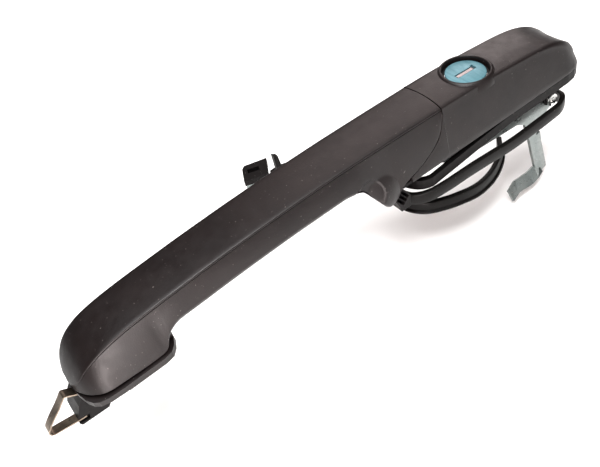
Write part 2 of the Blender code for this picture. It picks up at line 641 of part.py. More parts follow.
def strip(name, path, thickness, y0, y1, origin=(0, 0, 0)):
    """Bent flat strip: a path in the XZ plane with a constant thickness."""
    left, right = [], []
    for i, (x, z) in enumerate(path):
        a = path[max(0, i - 1)]
        b = path[min(len(path) - 1, i + 1)]
        d = Vector((b[0] - a[0], b[1] - a[1])).normalized()
        n = Vector((-d.y, d.x)) * thickness / 2
        left.append((x + n.x, z + n.y))
        right.append((x - n.x, z - n.y))
    return prism(name, left + list(reversed(right)), y0, y1, "XZ", origin)


def make_spring_clip(mat):
    path = [(-4.3, 0.1), (-6.4, 1.5), (-8.4, 2.8), (-9.2, 3.0), (-9.9, 2.4), (-13.2, -0.9),
            (-17.4, -4.6), (-19.9, -7.2), (-20.7, -8.6), (-20.5, -10.0), (-19.3, -10.8),
            (-16.0, -11.3), (-12.0, -11.9), (-9.6, -12.2), (-7.0, -12.45)]
    return paint(strip("spring_clip", path, 0.55, -5.1, -0.9), mat)


def make_pivot_pin(mat):
    pin = rod("grip_pivot_pin", along_y(PIVOT_X, PIVOT_Z), PIVOT_R, -9.6, 9.6, 24, 0.3,
              origin=(PIVOT_X, 0, PIVOT_Z))
    return paint(pin, mat)


LEVER_LEG = [(-22.0, 219.2, 225.2), (-26.2, 220.5, 225.0), (-32.3, 221.8, 226.0), (-43.8, 224.3, 228.5),
             (-51.2, 225.9, 230.1)]
LEVER_FOOT = [(228.5, -10.0, -47.4, -12.6, -50.4), (224.3, -10.4, -45.0, -13.8, -50.9),
              (220.0, -10.8, -45.6, -14.5, -51.2), (211.0, -10.9, -45.0, -14.5, -50.0),
              (209.6, -11.0, -45.9, -14.6, -50.7), (206.2, -11.4, -48.2, -14.9, -52.6)]


def make_lever(mats):
    """Pressed bell crank: front arm, hub, leg with a side flange and the twisted foot."""
    y0, y1 = LEVER_Y0, LEVER_Y1
    left = [(x, z) for z, x, _ in LEVER_LEG]
    right = [(x, z) for z, _, x in LEVER_LEG]
    arm = [(157.0, -0.5), (164, -0.6), (176, -8.6), (212, -11.4), (217.2, -14.5)]
    hub = [(228.0, -17.0), (234.0, -13.6), (235.9, -10.2), (234.6, -4.6), (230.5, -4.0),
           (222.0, -4.6), (180, -2.2), (168, 0.9), (157.0, 1.3)]
    lever = prism("release_lever", arm + left + list(reversed(right)) + hub, y0, y1, "XZ",
                  origin=(LEVER_X, 0, LEVER_Z))
    rings = [[(x - 0.8, y0 + 0.1, z), (x + 3.6, y0 + 0.9, z), (x + 3.6, y0 + 2.4, z),
              (x - 0.8, y1 - 0.1, z)] for z, _, x in LEVER_LEG[1:]]
    flange = loft("flange", rings)
    foot = loft("foot", [[(x, ya, za), (x, yb, zb), (x, yb + 1.2, zb - 0.9), (x, ya + 1.2, za - 0.9)]
                         for x, ya, za, yb, zb in LEVER_FOOT])
    join(lever, flange, foot)
    cut(lever, rod("pin_hole", along_y(LEVER_X, LEVER_Z), LEVER_PIN_R + 0.05, -14, -8, 20),
        rod("tab_hole", lambda a, b, h: (207.9 + 0.8 * a + 0.4 * h, -12.9 + 0.7 * b - 0.6 * h,
                                         -49.2 - 0.4 * a - 0.7 * b + 0.6 * h), 0.9, -6, 6, 16))
    paint(lever, mats["zinc"])
    rivet = rod("lever_hub_washer", along_y(LEVER_X, LEVER_Z), 3.4, y0 - 0.75, y0 - 0.1, 24,
                origin=(LEVER_X, 0, LEVER_Z))
    cut(rivet, rod("hole", along_y(LEVER_X, LEVER_Z), LEVER_PIN_R + 0.05, -15, -8, 20))
    paint(rivet, mats["plastic"])
    pin = rod("lever_pin", along_y(LEVER_X, LEVER_Z), LEVER_PIN_R, -14.0, 1.4, 20, 0.2,
              origin=(LEVER_X, 0, LEVER_Z))
    cut(pin, ring("groove", along_y(LEVER_X, LEVER_Z), 1.2, 3.0, -13.7, -13.1))
    paint(pin, mats["steel"])
    clip = ring("lever_pin_clip", along_y(LEVER_X, LEVER_Z), 1.25, 2.9, -13.65, -13.15, 24,
                (LEVER_X, 0, LEVER_Z))
    cut(clip, box("clip_gap", (LEVER_X - 0.9, -15, LEVER_Z - 5), (LEVER_X + 0.9, -12, LEVER_Z)))
    paint(clip, mats["steel"])


def sweep(name, path, profile, closed=False, up=(0, 0, 1)):
    """Carry a profile of (sideways, up) points along a 3-D path."""
    count = len(path)
    rings = []
    for i, p in enumerate(path):
        a = path[(i - 1) % count] if closed else path[max(0, i - 1)]
        b = path[(i + 1) % count] if closed else path[min(count - 1, i + 1)]
        forward = (Vector(b) - Vector(a)).normalized()
        side = forward.cross(Vector(up)).normalized()
        rise = side.cross(forward)
        rings.append([tuple(Vector(p) + side * s + rise * r) for s, r in profile])
    return loft(name, rings, closed)


def make_lever_spring(mat):
    turns, steps = 4, 10
    path = [(LEVER_X - 6.6, -6.4, LEVER_Z + 2.4)]
    for k in range(turns * steps + 1):
        a = 2 * math.pi * k / steps + math.radians(150)
        path.append((LEVER_X + 2.9 * math.cos(a), -6.6 + 3.9 * k / (turns * steps),
                     LEVER_Z + 2.9 * math.sin(a)))
    path.append((LEVER_X - 1.6, -2.6, LEVER_Z + 4.0))
    profile = [(0.35 * math.cos(a), 0.35 * math.sin(a)) for a in
               [math.radians(72 * k) for k in range(5)]]
    rings = []
    for i, p in enumerate(path):
        a, b = path[max(0, i - 1)], path[min(len(path) - 1, i + 1)]
        forward = (Vector(b) - Vector(a)).normalized()
        side = Vector((0, 1, 0))
        side = (side - forward * side.dot(forward)).normalized()
        rise = side.cross(forward)
        rings.append([tuple(Vector(p) + side * s + rise * r) for s, r in profile])
    return paint(loft("lever_spring", rings), mat)


def smooth_path(points, steps, closed):
    """Catmull-Rom points through the given ones."""
    out = []
    n = len(points)
    for i in range(n if closed else n - 1):
        def pick(k):
            return Vector(points[k % n] if closed else points[min(n - 1, max(0, k))])
        p0, p1, p2, p3 = pick(i - 1), pick(i), pick(i + 1), pick(i + 2)
        for s in range(steps):
            t = s / steps
            out.append(0.5 * (2 * p1 + (p2 - p0) * t + (2 * p0 - 5 * p1 + 4 * p2 - p3) * t * t
                              + (3 * p1 - p0 - 3 * p2 + p3) * t**3))
    if not closed:
        out.append(Vector(points[-1]))
    return out


GASKET_PATH = [(148.2, -5, -11.8), (150.2, -10.4, -11.8), (156, -14.2, -11.6), (165.5, -15.6, -11.4),
               (178, -16.2, -11.2), (190, -16.0, -12.4), (204, -15.9, -13.7), (218, -15.9, -13.4),
               (228, -15.9, -12.9), (234.5, -15.4, -12.8), (239.8, -12.4, -12.9),
               (242.2, -6.6, -14.6), (243.0, 0, -16.4), (242.4, 6.5, -17.0), (239.0, 13.0, -16.6),
               (231, 16.8, -16.0), (218, 17.4, -15.4), (200, 17.4, -15.2), (180, 17.2, -14.6),
               (163, 16.8, -14.2), (153, 14.6, -13.9), (149, 9, -13.2), (148.0, 2, -12.3)]
STRAP_PATH = [(152.0, 3.5, -22.0), (152.6, -4.0, -21.6), (157.2, -10.0, -22.2), (164.8, -13.6, -22.9),
              (172.4, -15.5, -23.8), (181.4, -15.5, -26.0), (190.9, -13.5, -27.7),
              (199.6, -10.0, -28.4), (207.4, -5.0, -28.6), (214.0, 2.0, -29.4)]


def make_gasket(mat):
    profile = [(-1.25, -2.3), (-0.8, -2.9), (0.8, -2.9), (1.25, -2.3), (1.25, 2.3), (0.8, 2.9),
               (-0.8, 2.9), (-1.25, 2.3)]
    gasket = sweep("base_gasket", smooth_path(GASKET_PATH, 2, True), profile, True)
    return paint(gasket, mat)


def make_strap(mat):
    profile = [(-1.3, -3.0), (2.1, -3.0), (2.3, -2.4), (2.1, -1.9), (1.2, -1.6), (1.3, 2.2),
               (0.7, 2.8), (-0.7, 2.8), (-1.3, 2.2)]
    strap = sweep("drain_strap", smooth_path(STRAP_PATH, 3, False), profile)
    return paint(strap, mat)


def build():
    clear_scene()
    mats = {
        "grip": material("grip_plastic", (0.022, 0.020, 0.020), 0.0, 0.42),
        "plastic": material("black_plastic", (0.014, 0.013, 0.013), 0.0, 0.5),
        "rubber": material("black_rubber", (0.012, 0.011, 0.011), 0.0, 0.7),
        "zinc": material("zinc_plate", (0.62, 0.63, 0.62), 1.0, 0.3),
        "steel": material("steel", (0.55, 0.55, 0.54), 1.0, 0.3),
        "spring": material("spring_steel", (0.45, 0.36, 0.28), 1.0, 0.35),
        "teal": material("teal_lock_face", (0.05, 0.26, 0.33), 0.6, 0.35),
        "shutter": material("shutter_steel", (0.6, 0.58, 0.56), 1.0, 0.4),
        "brass": material("wafer_brass", (0.7, 0.5, 0.2), 1.0, 0.35),
    }
    make_grip_body(mats["grip"])
    make_grip_cover(mats["grip"])
    make_grip_core(mats["zinc"])
    make_grip_screws(mats["steel"])
    make_grip_tongue(mats["plastic"])
    make_housing(mats["grip"])
    make_bezel(mats["plastic"])
    make_base_frame(mats["plastic"])
    make_bracket(mats["zinc"])
    make_bracket_screws(mats["steel"])
    make_fixing_screw(mats["steel"])
    make_barrel(mats["zinc"])
    make_o_ring(mats["rubber"])
    make_plug(mats)
    make_shutter(mats)
    make_lock_arm(mats)
    make_pad(mats["plastic"])
    make_hook(mats["plastic"])
    make_spring_clip(mats["spring"])
    make_pivot_pin(mats["steel"])
    make_lever(mats)
    make_lever_spring(mats["spring"])
    make_gasket(mats["rubber"])
    make_strap(mats["rubber"])


build()
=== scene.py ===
import math

import bmesh
import bpy
from mathutils import Matrix, Vector


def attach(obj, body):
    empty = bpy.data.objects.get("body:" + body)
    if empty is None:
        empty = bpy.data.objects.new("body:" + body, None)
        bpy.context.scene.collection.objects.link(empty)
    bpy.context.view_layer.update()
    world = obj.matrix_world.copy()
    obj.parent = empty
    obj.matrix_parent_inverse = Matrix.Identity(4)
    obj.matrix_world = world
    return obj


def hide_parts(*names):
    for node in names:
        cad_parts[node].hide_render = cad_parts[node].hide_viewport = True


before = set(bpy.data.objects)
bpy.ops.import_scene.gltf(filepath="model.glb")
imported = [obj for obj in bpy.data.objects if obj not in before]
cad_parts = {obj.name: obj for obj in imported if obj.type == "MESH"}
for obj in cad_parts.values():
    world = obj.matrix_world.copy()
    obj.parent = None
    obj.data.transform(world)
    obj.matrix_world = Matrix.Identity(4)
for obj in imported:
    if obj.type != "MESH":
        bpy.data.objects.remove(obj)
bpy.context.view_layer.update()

# Lengths are in millimetres along the handle: X from the nose line, Z from the door skin.
ORIGIN_X = 21.0
LOCK_X, LOCK_Z = 193.3, 23.9
LOCK_TILT = math.radians(3.5)
GRIP_END_X = 168.5
ARC_BULGE = 1.3
PARTING_DROP = 0.6
PARTING_GAP = 0.2

CREASE_Z = [(-4.9, 5.6), (-3.6, 7.8), (-1.4, 10.8), (1.5, 13.8), (4.7, 16.0), (10.3, 18.5),
            (18.5, 20.4), (29.3, 21.8), (39.4, 22.7), (59, 24.2), (84, 25.4), (105, 25.9),
            (120, 26.0), (145, 25.6), (168.5, 25.0)]
CREASE_Y = [(-4.9, 3.6), (-4.2, 6.0), (-3, 7.9), (-1, 9.4), (2, 10.3), (6, 10.8), (12, 11.0),
            (60, 10.9), (110, 10.9), (140, 11.1), (168.5, 11.3)]
BASE_Z = [(-4.9, 4.7), (0, 4.3), (10, 3.9), (29, 3.5), (30.6, 4.4), (32, 6.6), (34.5, 8.9),
          (39, 10.0), (48, 10.4), (70, 11.6), (95, 12.5), (116, 12.6), (122.5, 12.6),
          (124.6, 12.2), (125.8, 10.9), (128, 7.3), (131, 2.4), (133.3, -1.3), (135.2, -3.2),
          (137.5, -3.6), (139.5, -2.0), (141, 1.0),
          (143, 2.9), (147, 4.6), (151, 5.7), (155.5, 7.4), (159.5, 9.5), (163.7, 12.6),
          (166.4, 16.2), (167.8, 20.0), (168.5, 22.6)]
BASE_Y = [(-4.9, 5.0), (-4.2, 7.4), (-3.2, 9.4), (-1.5, 11.8), (0.1, 13.3), (3.3, 15.2), (7, 15.9),
          (17, 15.9), (26.6, 15.6), (30, 15.0), (33, 14.2), (40, 13.7), (60, 13.5), (118, 13.5),
          (128, 14.2), (133, 14.8), (140, 14.9), (150, 14.5), (159.5, 13.9), (165, 13.3),
          (168.5, 12.2)]
BASE_R = [(-4.9, 0.5), (28, 0.6), (33, 2.4), (40, 4.0), (116, 4.0), (122, 2.4),
          (126, 1.2), (130, 1.6), (134, 2.5), (138, 2.6),
          (141, 0.7), (168.5, 0.4)]
HOUSING_CREASE_Z = [(168.9, 25.0), (180, 24.6), (198, 23.5), (213, 22.1), (222, 21.1), (230, 19.6),
                    (236, 17.6), (241, 15.0), (245, 11.8), (248, 8.6), (250.5, 5.4), (252.2, 3.6)]
HOUSING_CREASE_Y = [(148, 14.6), (151, 14.5), (159.5, 13.9), (165, 13.3), (168.9, 11.5),
                    (170, 11.4), (228, 11.4), (236, 11.4), (241, 11.3), (245, 10.8), (248, 9.8),
                    (250.4, 7.6), (251.6, 5.2), (252.2, 3.0)]
HOUSING_BASE_Y = [(148, 14.9), (170, 15.1), (233, 15.3), (240, 15.2), (244.5, 14.6), (248, 12.9),
                  (250.3, 10.0), (251.6, 6.6), (252.3, 3.4)]
HOUSING_BASE_Z = 2.0
WALL = 2.4                  # thickness of the housing's wall
LEVER_ROOM = 11.35          # inner half width that clears the rising lever
THROAT_HALF = 12.25         # half width of the opening under the grip's rear end
KNOB_X, KNOB_Z = 133.6, 5.0
KNOB_REACH_X, KNOB_REACH_Z, KNOB_SWELL = 7.6, 8.6, 2.3
SCOOP_X, SCOOP_Z, SCOOP_R, SCOOP_DEPTH = 126.75, 9.1, 6.9, 1.5
CAP_R = 8.66                # lock face
BARREL_BORE_R = 10.45
BEZEL_BORE_R = 9.93
FLOOR_Z = -0.0565           # metres, just below the lever's foot
MM = 0.001
GASKET_PATH = [(148.2, -5, -11.8), (150.2, -10.4, -11.8), (156, -14.2, -11.6),
               (165.5, -15.6, -11.4),
               (178, -16.2, -11.2), (190, -16.0, -12.4), (204, -15.9, -13.7), (218, -15.9, -13.4),
               (228, -15.9, -12.9), (234.5, -15.4, -12.8), (239.8, -12.4, -12.9),
               (242.2, -6.6, -14.6), (243.0, 0, -16.4), (242.4, 6.5, -17.0), (239.0, 13.0, -16.6),
               (231, 16.8, -16.0), (218, 17.4, -15.4), (200, 17.4, -15.2), (180, 17.2, -14.6),
               (163, 16.8, -14.2), (153, 14.6, -13.9), (149, 9, -13.2), (148.0, 2, -12.3)]
STRAP_PATH = [(152.0, 3.5, -22.0), (152.6, -4.0, -21.6), (157.2, -10.0, -22.2),
              (164.8, -13.6, -22.9),
              (172.4, -15.5, -23.8), (181.4, -15.5, -26.0), (190.9, -13.5, -27.7),
              (199.6, -10.0, -28.4), (207.4, -5.0, -28.6), (214.0, 2.0, -29.4)]
CLIP_PATH = [(-4.3, 0.1), (-6.4, 1.5), (-8.4, 2.8), (-9.2, 3.0), (-9.9, 2.4), (-13.2, -0.9),
             (-17.4, -4.6), (-19.9, -7.2), (-20.7, -8.6), (-20.5, -10.0), (-19.3, -10.8),
             (-16.0, -11.3), (-12.0, -11.9), (-9.6, -12.2), (-7.0, -12.45)]


# ---------------------------------------------------------------- shape helpers
def pt(x, y, z):
    return Vector(((x - ORIGIN_X) * MM, y * MM, z * MM))


def curve(table, x):
    """Smooth monotone interpolation in a table of (x, value)."""
    if x <= table[0][0]:
        return table[0][1]
    if x >= table[-1][0]:
        return table[-1][1]
    i = max(k for k in range(len(table) - 1) if table[k][0] <= x)
    x0, y0 = table[i]
    x1, y1 = table[i + 1]
    step = x1 - x0
    slope = (y1 - y0) / step

    def tangent(k):
        if k <= 0 or k >= len(table) - 1:
            return slope
        a = (table[k][1] - table[k - 1][1]) / (table[k][0] - table[k - 1][0])
        b = (table[k + 1][1] - table[k][1]) / (table[k + 1][0] - table[k][0])
        return 0.0 if a * b <= 0 else 2 * a * b / (a + b)

    t = (x - x0) / step
    m0, m1 = tangent(i), tangent(i + 1)
    return ((2 * t**3 - 3 * t**2 + 1) * y0 + (t**3 - 2 * t**2 + t) * step * m0
            + (-2 * t**3 + 3 * t**2) * y1 + (t**3 - t**2) * step * m1)


def finish(bm, name, mat, body=None, hides=(), slot=None, angle=35.0):
    bmesh.ops.remove_doubles(bm, verts=bm.verts, dist=1e-6)
    bmesh.ops.recalc_face_normals(bm, faces=bm.faces)
    mesh = bpy.data.meshes.new(name)
    bm.to_mesh(mesh)
    bm.free()
    obj = bpy.data.objects.new(name, mesh)
    bpy.context.scene.collection.objects.link(obj)
    settle(obj, mat, angle)
    if body:
        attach(obj, body)
    if hides:
        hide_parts(*hides)
    return obj


def settle(obj, mat, angle=35.0):
    mesh = obj.data
    mesh.materials.clear()
    mesh.materials.append(mat)
    for poly in mesh.polygons:
        poly.use_smooth = True
        poly.material_index = 0
    mesh.set_sharp_from_angle(angle=math.radians(angle))


def loft_bm(rings, closed=False):
    bm = bmesh.new()
    rows = [[bm.verts.new(pt(*p)) for p in ring] for ring in rings]
    count = len(rings[0])
    pairs = list(zip(rows, rows[1:]))
    if closed:
        pairs.append((rows[-1], rows[0]))
    for a, b in pairs:
        for i in range(count):
            j = (i + 1) % count
            bm.faces.new((a[i], a[j], b[j], b[i]))
    if not closed:
        bm.faces.new(rows[0])
        bm.faces.new(list(reversed(rows[-1])))
    return bm


def loft(name, rings, mat, body=None, closed=False, **more):
    return finish(loft_bm(rings, closed), name, mat, body, **more)


def prism(name, outline, low, high, mat, plane="XY", body=None, **more):
    place = {"XY": lambda a, b, h: (a, b, h), "XZ": lambda a, b, h: (a, h, b),
             "YZ": lambda a, b, h: (h, a, b)}[plane]
    rings = [[place(a, b, h) for a, b in outline] for h in (low, high)]
    return loft(name, rings, mat, body, **more)


def lathe(name, profile, place, mat, body=None, count=96, **more):
    bm = bmesh.new()
    rows = []
    for r, h in profile:
        if r <= 1e-9:
            rows.append([bm.verts.new(pt(*place(0, 0, h)))])
        else:
            angles = [2 * math.pi * (k + 0.5) / count for k in range(count)]
            rows.append([bm.verts.new(pt(*place(r * math.cos(a), r * math.sin(a), h)))
                         for a in angles])
    for a, b in zip(rows, rows[1:] + rows[:1]):
        for k in range(count):
            n = (k + 1) % count
            quad = (a[k % len(a)], a[n % len(a)], b[n % len(b)], b[k % len(b)])
            unique = list(dict.fromkeys(quad))
            if len(unique) >= 3:
                bm.faces.new(unique)
    return finish(bm, name, mat, body, **more)


def at_lock(a, b, h):
    c, s = math.cos(LOCK_TILT), math.sin(LOCK_TILT)
    return (LOCK_X + a * c + h * s, b, LOCK_Z - a * s + h * c)


def arc(cx, cz, r, start, stop, count):
    angles = [math.radians(start + (stop - start) * k / count) for k in range(count + 1)]
    return [(cx + r * math.cos(a), cz + r * math.sin(a)) for a in angles]


def mirror_ring(x, half):
    near = [(x, -y, z) for y, z in reversed(half)]
    return [(x, y, z) for y, z in half] + near


def bow(points, x, start, end, amount):
    weight = min(1.0, max(0.0, (x - start) / (end - start)))
    return [(px + amount * weight * (1 - (py / 12.5) ** 2), py, pz) for px, py, pz in points]


def smooth_path(points, steps, closed):
    out = []
    n = len(points)

    def pick(k):
        return Vector(points[k % n] if closed else points[min(n - 1, max(0, k))])

    for i in range(n if closed else n - 1):
        p0, p1, p2, p3 = pick(i - 1), pick(i), pick(i + 1), pick(i + 2)
        for s in range(steps):
            t = s / steps
            out.append(0.5 * (2 * p1 + (p2 - p0) * t + (2 * p0 - 5 * p1 + 4 * p2 - p3) * t * t
                              + (3 * p1 - p0 - 3 * p2 + p3) * t**3))
    if not closed:
        out.append(Vector(points[-1]))
    return out


def sweep_rings(path, profile, closed=False, up=(0, 0, 1)):
    count = len(path)
    rings = []
    for i, p in enumerate(path):
        a = path[(i - 1) % count] if closed else path[max(0, i - 1)]
        b = path[(i + 1) % count] if closed else path[min(count - 1, i + 1)]
        forward = (Vector(b) - Vector(a)).normalized()
        side = forward.cross(Vector(up)).normalized()
        rise = side.cross(forward)
        rings.append([tuple(Vector(p) + side * s + rise * r) for s, r in profile])
    return rings


def cut(target, *others, mode="DIFFERENCE"):
    for other in others:
        mod = target.modifiers.new("cut", "BOOLEAN")
        mod.operation = mode
        mod.solver = "EXACT"
        mod.object = other
        bpy.context.view_layer.update()
        graph = bpy.context.evaluated_depsgraph_get()
        mesh = bpy.data.meshes.new_from_object(target.evaluated_get(graph))
        target.modifiers.clear()
        target.data = mesh
        bpy.data.objects.remove(other, do_unlink=True)
    return target


def bevel(obj, width, segments=2, angle=38.0):
    mod = obj.modifiers.new("bevel", "BEVEL")
    mod.width = width * MM
    mod.segments = segments
    mod.limit_method = "ANGLE"
    mod.angle_limit = math.radians(angle)
    mod.harden_normals = True
    return obj


# ---------------------------------------------------------------- materials
class Shader:
    """Small builder for a procedural node material."""

    def __init__(self, name, metallic=0.0, specular=0.5):
        self.mat = bpy.data.materials.new(name)
        self.mat.use_nodes = True
        self.tree = self.mat.node_tree
        self.main = self.tree.nodes["Principled BSDF"]
        self.main.inputs["Metallic"].default_value = metallic
        self.main.inputs["Specular IOR Level"].default_value = specular
        self.coords = self.tree.nodes.new("ShaderNodeTexCoord").outputs["Object"]

    def link(self, a, b):
        self.tree.links.new(a, b)

    def scaled(self, scale):
        node = self.tree.nodes.new("ShaderNodeMapping")
        node.inputs["Scale"].default_value = scale
        self.link(self.coords, node.inputs["Vector"])
        return node.outputs["Vector"]

    def noise(self, scale, detail=3.0, rough=0.55, vector=None):
        node = self.tree.nodes.new("ShaderNodeTexNoise")
        node.inputs["Scale"].default_value = scale
        node.inputs["Detail"].default_value = detail
        node.inputs["Roughness"].default_value = rough
        self.link(vector or self.coords, node.inputs["Vector"])
        return node.outputs["Fac"]

    def ramp(self, fac, stops):
        node = self.tree.nodes.new("ShaderNodeValToRGB")
        marks = node.color_ramp.elements
        while len(marks) < len(stops):
            marks.new(0.5)
        for mark, (place, colour) in zip(marks, stops):
            mark.position = place
            mark.color = (*colour, 1.0)
        self.link(fac, node.inputs["Fac"])
        return node.outputs["Color"]

    def mix(self, fac, a, b):
        node = self.tree.nodes.new("ShaderNodeMix")
        node.data_type = "RGBA"
        node.blend_type = "MIX"
        sockets = [s for s in node.inputs if s.enabled]
        for socket, value in zip(sockets, (fac, a, b)):
            if isinstance(value, (int, float)):
                socket.default_value = value
            elif isinstance(value, tuple):
                socket.default_value = (*value, 1.0)
            else:
                self.link(value, socket)
        return [s for s in node.outputs if s.enabled][0]

    def colour(self, socket):
        self.link(socket, self.main.inputs["Base Color"])

    def rough(self, fac, low, high):
        node = self.tree.nodes.new("ShaderNodeMapRange")
        node.inputs["From Min"].default_value = 0.3
        node.inputs["From Max"].default_value = 0.7
        node.inputs["To Min"].default_value = low
        node.inputs["To Max"].default_value = high
        self.link(fac, node.inputs["Value"])
        self.link(node.outputs["Result"], self.main.inputs["Roughness"])

    def bump(self, fac, strength, distance):
        node = self.tree.nodes.new("ShaderNodeBump")
        node.inputs["Strength"].default_value = strength
        node.inputs["Distance"].default_value = distance
        self.link(fac, node.inputs["Height"])
        self.link(node.outputs["Normal"], self.main.inputs["Normal"])


def moulded(name, dark, light, rough, grain=2000.0, depth=0.00008, specks=0.4, specular=0.25):
    s = Shader(name, specular=specular)
    tone = s.ramp(s.noise(55.0, 4.0), [(0.3, dark), (0.7, light)])
    dust = s.ramp(s.noise(1100.0, 1.0), [(0.74, (0, 0, 0)), (0.8, (specks, specks, specks))])
    s.colour(s.mix(dust, tone, (0.22, 0.19, 0.18)))
    s.rough(s.noise(240.0, 3.0), rough - 0.05, rough + 0.06)
    s.bump(s.noise(grain, 2.0), 0.5, depth)
    return s.mat


def metal(name, dark, light, rough, grain=(300.0, 300.0, 300.0), depth=0.00003, metallic=1.0):
    s = Shader(name, metallic)
    tone = s.ramp(s.noise(1.0, 4.0, vector=s.scaled(grain)), [(0.3, dark), (0.7, light)])
    s.colour(tone)
    s.rough(s.noise(700.0, 3.0), rough - 0.06, rough + 0.1)
    s.bump(s.noise(1500.0, 3.0), 0.25, depth)
    return s.mat


GRIP = moulded("satin_grip", (0.0052, 0.0034, 0.0034), (0.0085, 0.0056, 0.0054), 0.40)
BLACK = moulded("black_moulding", (0.003, 0.0025, 0.0025), (0.006, 0.005, 0.005), 0.45,
                specular=0.08)
DEEP = moulded("deep_black", (0.004, 0.004, 0.004), (0.008, 0.008, 0.008), 0.55, specks=0.0)
RUBBER = moulded("black_rubber", (0.003, 0.0026, 0.0024), (0.005, 0.0043, 0.004), 0.36, 1200.0,
                 0.00002, 0.2, 0.09)
ZINC = metal("zinc_plate", (0.17, 0.195, 0.19), (0.27, 0.29, 0.28), 0.3, (90.0, 90.0, 90.0),
             0.00001)
CASTING = metal("zinc_casting", (0.30, 0.36, 0.42), (0.66, 0.69, 0.70), 0.28,
                (260.0, 260.0, 260.0), 0.00005)
STEEL = metal("plated_steel", (0.50, 0.50, 0.49), (0.66, 0.66, 0.64), 0.26)
BRONZE = metal("spring_steel", (0.15, 0.115, 0.09), (0.27, 0.22, 0.17), 0.32)
TEAL = metal("teal_cap", (0.055, 0.15, 0.18), (0.095, 0.215, 0.25), 0.46, (900.0, 90.0, 900.0),
             0.00002, 0.35)
SHUTTER = metal("shutter_plate", (0.30, 0.265, 0.265), (0.38, 0.34, 0.34), 0.45,
                (1200.0, 200.0, 1200.0))
BRASS = metal("wafer_brass", (0.50, 0.36, 0.13), (0.66, 0.49, 0.2), 0.3)


# ---------------------------------------------------------------- grip
def spread(start, stop, step):
    count = max(1, round((stop - start) / step))
    return [start + (stop - start) * k / count for k in range(count)]


NOSE = [-4.88 + 16.88 * (k / 34) ** 2 for k in range(34)]
GRIP_X = (NOSE + spread(12, 27, 1.5) + spread(27, 41, 0.5) + spread(41, 114, 2.0)
          + spread(114, 122, 1.0) + spread(122, 127, 0.25) + spread(127, 144, 0.35)
          + spread(144, 163, 0.7)
          + spread(163, 168.4, 0.3) + [168.4])


def knob(x, z):
    """Outward swelling of the rear foot, with the finger scoop at its inner edge."""
    reach = math.hypot((x - KNOB_X) / KNOB_REACH_X, (z - KNOB_Z) / KNOB_REACH_Z)
    swell = KNOB_SWELL * (1 - reach**2) ** 0.9 if reach < 1 else 0.0
    r = math.hypot(x - SCOOP_X, z - SCOOP_Z)
    return swell - (SCOOP_DEPTH * (1 - (r / SCOOP_R) ** 2) ** 0.5 if r < SCOOP_R else 0.0)


def grip_lower(x):
    crease_y, crease_z = curve(CREASE_Y, x), curve(CREASE_Z, x)
    base_z = curve(BASE_Z, x)
    base_y = max(curve(BASE_Y, x), crease_y + 0.1)
    top = crease_z - PARTING_DROP - PARTING_GAP
    radius = min(curve(BASE_R, x), max(0.25, (top - base_z) * 0.4))
    flat = [(0.0, base_z), ((base_y - radius) * 0.5, base_z)]
    lower = arc(base_y - radius, base_z + radius, radius, -90, -5, 8)
    y0, z0 = lower[-1]
    side = []
    for k in range(1, 44):
        t = (k / 44) ** 1.25
        z = z0 + (top - 0.2 - z0) * t
        y = y0 + (crease_y - y0) * t + 0.3 * 4 * t * (1 - t) * min(1, (top - z0) / 8)
        side.append((y + knob(x, z), z))
    lower = [(y + (knob(x, z) if y > base_y - radius * 0.6 else 0.0), z) for y, z in lower]
    rim = [(crease_y, top - 0.2), (crease_y - 0.06, top - 0.06), (crease_y - 0.25, top),
           (crease_y * 0.5, top)]
    return flat[1:] + lower + side + rim


def crown(half_width, z, rise, radius, count=7):
    edge = arc(half_width - radius, z - radius * 0.5, radius, 0, 72, 7)
    last_y, last_z = edge[-1]
    rest = []
    for k in range(1, count + 1):
        t = k / (count + 0.5)
        rest.append((last_y * (1 - t), last_z + (z + rise - last_z) * (1 - (1 - t) ** 2)))
    return edge + rest


def make_grip():
    rings = [bow(mirror_ring(x, grip_lower(x)), x, 150, GRIP_END_X, ARC_BULGE) for x in GRIP_X]
    shell = loft("grip_shell", rings, GRIP)
    foot = prism("foot_hollow", [(-1, -8.9), (27.4, -11.5), (27.4, 11.5), (-1, 8.9)], -2, 12, GRIP)
    cut(shell, foot, prism("lug_room", [(-0.8, 7), (8.4, 7), (8.4, 13), (3.4, 13), (0.4, 11.4)],
                           -7.8, 7.8, GRIP, "XZ"),
        prism("lug_swing", [(-2.0, -2), (1, -2), (1, 8), (-0.9, 8)], -7.8, 7.8, GRIP, "XZ"))
    settle(shell, GRIP, 40)
    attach(shell, "grip")
    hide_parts("grip_body")
    rings = []
    for x in GRIP_X:
        half_width, z = curve(CREASE_Y, x), curve(CREASE_Z, x)
        rim = z - PARTING_DROP
        half = [(half_width * 0.5, rim), (half_width - 0.3, rim), (half_width - 0.08, rim + 0.05),
                (half_width, rim + 0.18)]
        half += crown(half_width, z, 0.8, 0.75)[1:]
        rings.append(bow(mirror_ring(x, half), x, 150, GRIP_END_X, ARC_BULGE))
    loft("grip_top", rings, GRIP, "grip", hides=["grip_cover"], slot="grip_plastic", angle=50)


